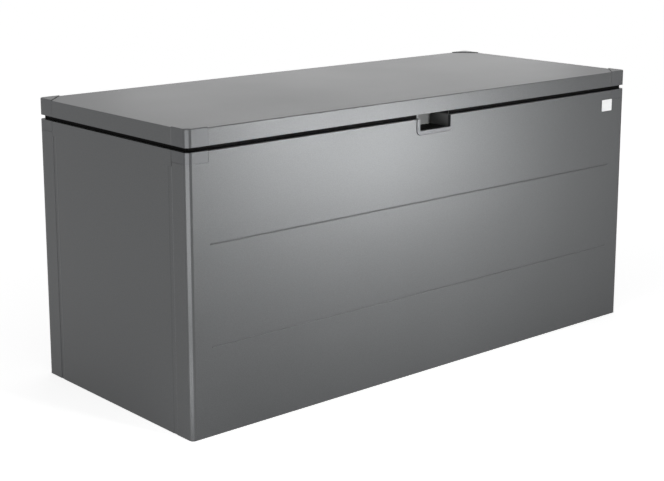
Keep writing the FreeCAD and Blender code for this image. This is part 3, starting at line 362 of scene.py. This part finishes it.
def satin_chromed_casting():
    """Zinc die casting, blasted and then chromed: a soft grey sheen from the fine pits, and no mirror."""
    material, tree, shader, place = surface("satin_chromed_zinc_casting", {"Metallic": 1.0})
    # The pits are 0.05 mm and are drawn at 0.4 mm
    pits = grain(tree, place, size=0.0004)
    colour = tones(tree, pits, (0.3, "#88898b"), (0.7, "#929395"))
    tree.links.new(colour, shader.inputs["Base Color"])
    tree.links.new(between(tree, pits, low=0.46, high=0.54), shader.inputs["Roughness"])
    relief(tree, shader, pits, depth=0.00001, strength=0.3)
    return material


def printed_white_plate():
    """White enamelled aluminium: a bare plate, even and faintly glossy, with a little print mottle."""
    material, tree, shader, place = surface("white_enamelled_plate", {"IOR": 1.5})
    mottle = grain(tree, place, size=0.003, detail=3.0)
    colour = tones(tree, mottle, (0.3, "#e9eaea"), (0.7, "#eeeeee"))
    tree.links.new(colour, shader.inputs["Base Color"])
    tree.links.new(between(tree, mottle, low=0.36, high=0.46), shader.inputs["Roughness"])
    relief(tree, shader, mottle, depth=0.00001, strength=0.3)
    return material


FINISHES = {
    "body_paint": powder_coated_steel(),
    "cap_plastic": moulded_grey_plastic(),
    "pocket_plastic": moulded_pocket_plastic(),
    "galvanised_steel": hot_dip_galvanised_steel(),
    "dark_plastic": black_plastic_darkened_as_shade(),
    "black_rubber": extruded_black_rubber(),
    "zinc_steel": zinc_plated_steel(),
    "strut_paint": stoved_black_enamel(),
    "chrome_steel": ground_chromed_steel(),
}
SATIN_CHROME = satin_chromed_casting()
WHITE_PLATE = printed_white_plate()


def dress_the_frame():
    """Each CAD node takes the finish of its slot; the lock's chrome is satin, the strut rods' is bright."""
    for entry in frame["record"]["subparts"]:
        mesh = NODES[entry["node"]].data
        mesh.materials.clear()
        mesh.materials.append(FINISHES[entry["material_slot"]])
    for name in ("lock_housing", "lock_plug"):
        NODES[name].data.materials[0] = SATIN_CHROME


# Modelling


def start_piece(name, primitive, **settings):
    """A new primitive, alone in the selection, with its own name."""
    bpy.ops.object.select_all(action="DESELECT")
    primitive(**settings)
    piece = bpy.context.object
    piece.name = name
    piece.data.name = name
    return piece


def pick(piece, kind, wanted):
    """In edit mode, selects only the faces or edges that wanted() accepts."""
    bpy.ops.object.mode_set(mode="EDIT")
    bpy.ops.mesh.select_mode(type="FACE" if kind == "polygons" else "EDGE")
    bpy.ops.mesh.select_all(action="DESELECT")
    bpy.ops.object.mode_set(mode="OBJECT")
    mesh = piece.data
    for part in getattr(mesh, kind):
        part.select = wanted(part, mesh)
    bpy.ops.object.mode_set(mode="EDIT")


def settle(piece, place, turn=(0, 0, 0)):
    """Puts a finished piece in its place, with the place in its mesh and its object at the origin."""
    piece.data.transform(Matrix.Translation(place) @ Euler(turn).to_matrix().to_4x4())
    piece.data.update()


def finish_piece(piece, body, material, angle=35):
    """Smooth shading below the angle in degrees, the finish, and the body that carries it."""
    bpy.ops.object.select_all(action="DESELECT")
    piece.select_set(True)
    bpy.context.view_layer.objects.active = piece
    bpy.ops.object.shade_smooth_by_angle(angle=math.radians(angle))
    piece.data.materials.clear()
    piece.data.materials.append(material)
    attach(piece, body)


def finish_fastener(piece, body):
    """Every small fastener is zinc-plated."""
    finish_piece(piece, body, FINISHES["zinc_steel"])


def copy_to(pattern, name, place, turn=(0, 0, 0)):
    """A copy of a modelled piece with a mesh of its own, in its place."""
    mesh = pattern.data.copy()
    mesh.name = name
    piece = bpy.data.objects.new(name, mesh)
    bpy.context.scene.collection.objects.link(piece)
    settle(piece, place, turn)
    return piece


def join_pieces(name, pieces):
    """Pieces of one kind on one body, made one object."""
    bpy.ops.object.select_all(action="DESELECT")
    for piece in pieces:
        piece.select_set(True)
    bpy.context.view_layer.objects.active = pieces[0]
    bpy.ops.object.join()
    whole = bpy.context.object
    whole.name = name
    whole.data.name = name
    return whole


# Small fasteners and the plate


def pan_head_screw():
    """Pan-head screw with a cross recess, its seat at the origin and its head towards +Z."""
    head_radius = 0.0036
    head_height = 0.0022
    recess_size = (0.0034, 0.0008, 0.0024)
    screw = start_piece(
        "pan_head_screw", bpy.ops.mesh.primitive_cylinder_add,
        vertices=24, radius=head_radius, depth=head_height, location=(0, 0, head_height / 2),
    )
    bpy.ops.object.transform_apply(location=True)
    pick(
        screw, "edges",
        lambda edge, mesh: all(mesh.vertices[v].co.z > head_height * 0.9 for v in edge.vertices),
    )
    bpy.ops.mesh.bevel(offset=0.001, segments=4, affect="EDGES")
    bpy.ops.object.mode_set(mode="OBJECT")
    cutters = []
    for turn in (0, math.pi / 2):
        slot = start_piece(
            "recess", bpy.ops.mesh.primitive_cube_add, size=1, location=(0, 0, head_height)
        )
        slot.scale = recess_size
        slot.rotation_euler = (0, 0, turn)
        bpy.ops.object.transform_apply(location=True, rotation=True, scale=True)
        cutters.append(slot)
    for slot in cutters:
        bpy.ops.object.select_all(action="DESELECT")
        screw.select_set(True)
        bpy.context.view_layer.objects.active = screw
        cut = screw.modifiers.new("recess", "BOOLEAN")
        cut.operation = "DIFFERENCE"
        cut.object = slot
        bpy.ops.object.modifier_apply(modifier=cut.name)
        bpy.data.objects.remove(slot)
    return screw


def dome_rivet():
    """Blind rivet seen from its head: a low dome with a rim, towards +Z."""
    rim_height = 0.0006
    rivet = start_piece(
        "dome_rivet", bpy.ops.mesh.primitive_cylinder_add,
        vertices=20, radius=0.004, depth=rim_height, location=(0, 0, rim_height / 2),
    )
    bpy.ops.object.transform_apply(location=True)
    pick(rivet, "polygons", lambda face, mesh: face.normal.z > 0.9)
    bpy.ops.mesh.inset(thickness=0.0004)
    bpy.ops.mesh.extrude_region_move(TRANSFORM_OT_translate={"value": (0, 0, 0.0006)})
    for inward, upward in ((0.0012, 0.0004), (0.0012, 0.0001)):
        bpy.ops.mesh.inset(thickness=inward)
        bpy.ops.transform.translate(value=(0, 0, upward))
    bpy.ops.object.mode_set(mode="OBJECT")
    return rivet


def retaining_ring():
    """Spring ring that holds a strut on its pin: an open ring, its axis along Z."""
    radius = 0.0065
    half_opening = 0.0015
    ring = start_piece(
        "retaining_ring", bpy.ops.mesh.primitive_cylinder_add,
        vertices=32, radius=radius, depth=0.0015, end_fill_type="NOTHING",
    )
    bpy.ops.object.transform_apply(location=True)
    pick(
        ring, "polygons",
        lambda face, mesh: face.center.y < -0.006 and abs(face.center.x) < half_opening,
    )
    bpy.ops.mesh.delete(type="FACE")
    bpy.ops.object.mode_set(mode="OBJECT")
    wall = ring.modifiers.new("wall", "SOLIDIFY")
    wall.thickness = 0.0024
    wall.offset = -1
    bpy.ops.object.modifier_apply(modifier=wall.name)
    edge = ring.modifiers.new("edge", "BEVEL")
    edge.width = 0.0003
    edge.segments = 2
    bpy.ops.object.modifier_apply(modifier=edge.name)
    return ring


def across_the_sheet(edge, mesh):
    """Whether an edge runs through the plate's thickness, along Y."""
    start, end = (mesh.vertices[v].co.y for v in edge.vertices)
    return abs(start - end) > 0.001


def corner_plate():
    """Bare white plate with round corners and a pressed edge, at the front's top right."""
    plate = start_piece("white_plate", bpy.ops.mesh.primitive_cube_add, size=1, location=(0, 0, 0))
    plate.scale = PLATE_SIZE
    bpy.ops.object.transform_apply(scale=True)
    pick(plate, "edges", across_the_sheet)
    bpy.ops.mesh.bevel(offset=0.0025, segments=5, affect="EDGES")
    bpy.ops.object.mode_set(mode="OBJECT")
    pick(plate, "polygons", lambda face, mesh: face.normal.y < -0.9)
    bpy.ops.mesh.inset(thickness=0.0006)
    bpy.ops.transform.translate(value=(0, -0.0003, 0))
    bpy.ops.mesh.inset(thickness=0.001)
    bpy.ops.mesh.inset(thickness=0.0003)
    bpy.ops.transform.translate(value=(0, 0.00015, 0))
    bpy.ops.object.mode_set(mode="OBJECT")
    settle(plate, (PLATE_X, -HALF_DEPTH - PLATE_SIZE[1] / 2, PLATE_Z))
    finish_piece(plate, "box", WHITE_PLATE)


def fit_hinge_screws(screw):
    """Three screws through each leaf: from above into the body, from below into the lid."""
    body_screws = []
    lid_screws = []
    for middle in HINGE_MIDDLES:
        for offset in (-HINGE_SCREW_SPACING, 0.0, HINGE_SCREW_SPACING):
            x = middle + offset
            body_screws.append(copy_to(screw, "screw", (x, HINGE_SCREWS_Y, BODY_TOP + LEAF_SHEET)))
            lid_screws.append(
                copy_to(screw, "screw", (x, HINGE_SCREWS_Y, LID_LEAF_UNDERSIDE), (math.pi, 0, 0))
            )
    finish_fastener(join_pieces("hinge_body_screws", body_screws), "box")
    finish_fastener(join_pieces("hinge_lid_screws", lid_screws), "lid")


def fit_rib_rivets(rivet):
    """A row of rivets on each flange of the three ribs, seen from under the lid."""
    rivets = []
    for middle, front in LID_RIBS:
        for step in range(RIVETS_IN_A_ROW):
            y = front + (RIB_RIVETS_REAR - front) * step / (RIVETS_IN_A_ROW - 1)
            for side in (-RIB_FLANGE_MIDDLE, RIB_FLANGE_MIDDLE):
                place = (middle + side, y, LID_UNDERSIDE - SHEET)
                rivets.append(copy_to(rivet, "rivet", place, (math.pi, 0, 0)))
    finish_fastener(join_pieces("lid_rib_rivets", rivets), "lid")


def fit_floor_rivets(rivet):
    """Rivets that hold the floor panel on the flanges of its three rails."""
    rivets = []
    for y in RAIL_RIVETS_Y:
        for step in range(RIVETS_ON_A_RAIL):
            x = RAIL_RIVETS_START + RAIL_RIVET_SPACING * step
            rivets.append(copy_to(rivet, "rivet", (x, y, FLOOR_LEVEL)))
    finish_fastener(join_pieces("floor_rivets", rivets), "box")


def fit_post_screws(screw):
    """Screws through the corner posts into both panels, with their heads inside the box."""
    screws = []
    inner_x = HALF_WIDTH - POST_INNER_FACE
    inner_y = HALF_DEPTH - POST_INNER_FACE
    quarter = math.pi / 2
    for z in POST_SCREW_HEIGHTS:
        for side_x in (-1, 1):
            for side_y in (-1, 1):
                on_side = (side_x * inner_x, side_y * (inner_y - POST_SCREW_INSET), z)
                on_face = (side_x * (inner_x - POST_SCREW_INSET), side_y * inner_y, z)
                screws.append(copy_to(screw, "screw", on_side, (0, -side_x * quarter, 0)))
                screws.append(copy_to(screw, "screw", on_face, (side_y * quarter, 0, 0)))
    finish_fastener(join_pieces("corner_post_screws", screws), "box")


def fit_strut_rings(ring):
    """A spring ring on the inner end of each strut pin; the head's rides with the strut's rod."""
    for side, sign in SIDES:
        x = sign * (STRUT_X - EYE_HALF_WIDTH - RING_FROM_EYE)
        turn = (0, sign * math.pi / 2, 0)
        for name, body, pin in (("foot_ring_", "box", FOOT_PIN), ("head_ring_", "rod_" + side, HEAD_PIN)):
            finish_fastener(copy_to(ring, name + side, (x, *pin), turn), body)


def fit_fasteners():
    """Each kind is modelled once, copied to its places, and then taken away."""
    screw = pan_head_screw()
    rivet = dome_rivet()
    ring = retaining_ring()
    fit_hinge_screws(screw)
    fit_rib_rivets(rivet)
    fit_floor_rivets(rivet)
    fit_post_screws(screw)
    fit_strut_rings(ring)
    for pattern in (screw, rivet, ring):
        bpy.data.objects.remove(pattern)


# Stage


def seen_directly(tree):
    """1 for what the camera sees, straight, mirrored or through something, and 0 for light on the object."""
    path = add_node(tree, "ShaderNodeLightPath")
    first = add_node(
        tree, "ShaderNodeMath", links={0: path.outputs["Is Camera Ray"], 1: path.outputs["Is Glossy Ray"]},
        operation="MAXIMUM",
    )
    second = add_node(
        tree, "ShaderNodeMath",
        links={0: first.outputs["Value"], 1: path.outputs["Is Transmission Ray"]}, operation="MAXIMUM",
    )
    return second.outputs["Value"]


def glow_around_the_box(tree, outward, least, start, end):
    """The floor's glow, which rises from least to its full strength from start to end outside the box."""
    either = [
        between(tree, distance, least, FLOOR_GLOW, half + start, half + end)
        for distance, half in zip(outward, (HALF_WIDTH, HALF_DEPTH))
    ]
    farther = add_node(tree, "ShaderNodeMath", links={0: either[0], 1: either[1]}, operation="MAXIMUM")
    return farther.outputs["Value"]


def pale_floor():
    """Matt white floor that keeps the object's shadow and meets the white surroundings without a line.

    Its glow is only seen, lights nothing, and stops under the box, where the floor is dark. Gloss mirrors it
    fainter near the box, a painted shadow round its foot, so the sides darken a little towards the ground.
    """
    floor = start_piece(
        "floor", bpy.ops.mesh.primitive_circle_add, vertices=96, radius=FLOOR_RADIUS, fill_type="NGON"
    )
    material = bpy.data.materials.new("matt_white_floor")
    material.use_nodes = True
    tree = material.node_tree
    tree.nodes.clear()
    dull = add_node(tree, "ShaderNodeBsdfDiffuse", {"Color": linear("#f0f0f0")})
    place = add_node(tree, "ShaderNodeTexCoord")
    outward = distances(tree, place.outputs["Object"])
    seen_glow = glow_around_the_box(tree, outward, 0.0, -FLOOR_GLOW_EDGE, 0.0)
    # Painted shadow: the glow that gloss sees is dimmer near the box and rises to full strength 0.8 m out
    mirrored_glow_with_painted_shadow = glow_around_the_box(tree, outward, PAINTED_SHADOW_GLOW, 0.0, PAINTED_SHADOW_WIDTH)
    path = add_node(tree, "ShaderNodeLightPath")
    strength = add_node(
        tree, "ShaderNodeMix",
        links={0: path.outputs["Is Glossy Ray"], 2: seen_glow, 3: mirrored_glow_with_painted_shadow}, data_type="FLOAT",
    )
    glow = add_node(tree, "ShaderNodeEmission", {"Color": WHITE}, {"Strength": strength.outputs[0]})
    both = add_node(
        tree, "ShaderNodeAddShader", links={0: dull.outputs["BSDF"], 1: glow.outputs["Emission"]}
    )
    mix = add_node(
        tree, "ShaderNodeMixShader",
        links={0: seen_directly(tree), 1: dull.outputs["BSDF"], 2: both.outputs["Shader"]},
    )
    add_node(tree, "ShaderNodeOutputMaterial", links={"Surface": mix.outputs["Shader"]})
    floor.data.materials.append(material)


def white_surroundings():
    """A white backdrop that is only seen, and a weaker, even light from all round."""
    world = bpy.data.worlds.new("white_surroundings")
    bpy.context.scene.world = world
    world.use_nodes = True
    tree = world.node_tree
    tree.nodes.clear()
    backdrop = add_node(tree, "ShaderNodeBackground", {"Color": WHITE, "Strength": BACKDROP})
    light = add_node(tree, "ShaderNodeBackground", {"Color": WHITE, "Strength": LIGHT_ALL_ROUND})
    mix = add_node(
        tree, "ShaderNodeMixShader",
        links={0: seen_directly(tree), 1: light.outputs["Background"], 2: backdrop.outputs["Background"]},
    )
    add_node(tree, "ShaderNodeOutputWorld", links={"Surface": mix.outputs["Shader"]})


def soft_lamp(name, place, aim, size, power, spread=180, mirrored=True):
    """An area lamp that the camera doesn't see.

    Its size is in metres, its power in watts and its spread, the width of its beam, in degrees. Gloss
    mirrors it only where mirrored is true.
    """
    data = bpy.data.lights.new(name, "AREA")
    data.shape = "RECTANGLE"
    data.size, data.size_y = size
    data.energy = power
    data.spread = math.radians(spread)
    lamp = bpy.data.objects.new(name, data)
    bpy.context.scene.collection.objects.link(lamp)
    lamp.location = place
    lamp.rotation_euler = (Vector(aim) - Vector(place)).to_track_quat("-Z", "Y").to_euler()
    lamp.visible_camera = False
    lamp.visible_glossy = mirrored


def light_the_stage():
    """Lamps for the front as a whole, its glow, the bevelled corner, that corner's foot, and the top."""
    soft_lamp(
        "key_lamp", (0.3, -4.0, 1.25), aim=(0.0, -0.35, 0.72), size=(0.4, 0.4), power=5.8,
        spread=45, mirrored=False,
    )
    soft_lamp(
        "front_lamp", (1.32, -2.44, 0.32), aim=(-0.25, -0.35, 0.7), size=(0.8, 0.4), power=3.9, spread=60
    )
    soft_lamp("edge_lamp", (-1.9, -1.09, 0.32), aim=(-0.845, -0.345, 0.42), size=(0.4, 0.6), power=7)
    soft_lamp(
        "foot_lamp", (-1.335, -0.691, 0.08), aim=(-0.845, -0.345, 0.06), size=(0.2, 0.1), power=0.075,
        spread=40,
    )
    soft_lamp("rear_lamp", (3.28, 3.72, 1.5), aim=(0.0, 0.0, 0.8), size=(2.95, 0.9), power=10.2)


def place_camera():
    """The photograph's viewing place: from the front left, a little above the lid."""
    down = 11.56
    rightwards = 41.10
    data = bpy.data.cameras.new("camera")
    data.sensor_width = 36
    data.lens = 77.88
    data.shift_y = -0.10
    data.clip_start = 0.1
    data.clip_end = 100
    camera = bpy.data.objects.new("camera", data)
    bpy.context.scene.collection.objects.link(camera)
    camera.location = (-2.829, -3.154, 1.389)
    camera.rotation_euler = (math.radians(90 - down), 0, math.radians(-rightwards))
    bpy.context.scene.camera = camera


place_camera()
dress_the_frame()
corner_plate()
fit_fasteners()
pale_floor()
white_surroundings()
light_the_stage()
bpy.context.scene.view_settings.view_transform = "Standard"
bpy.context.view_layer.update()
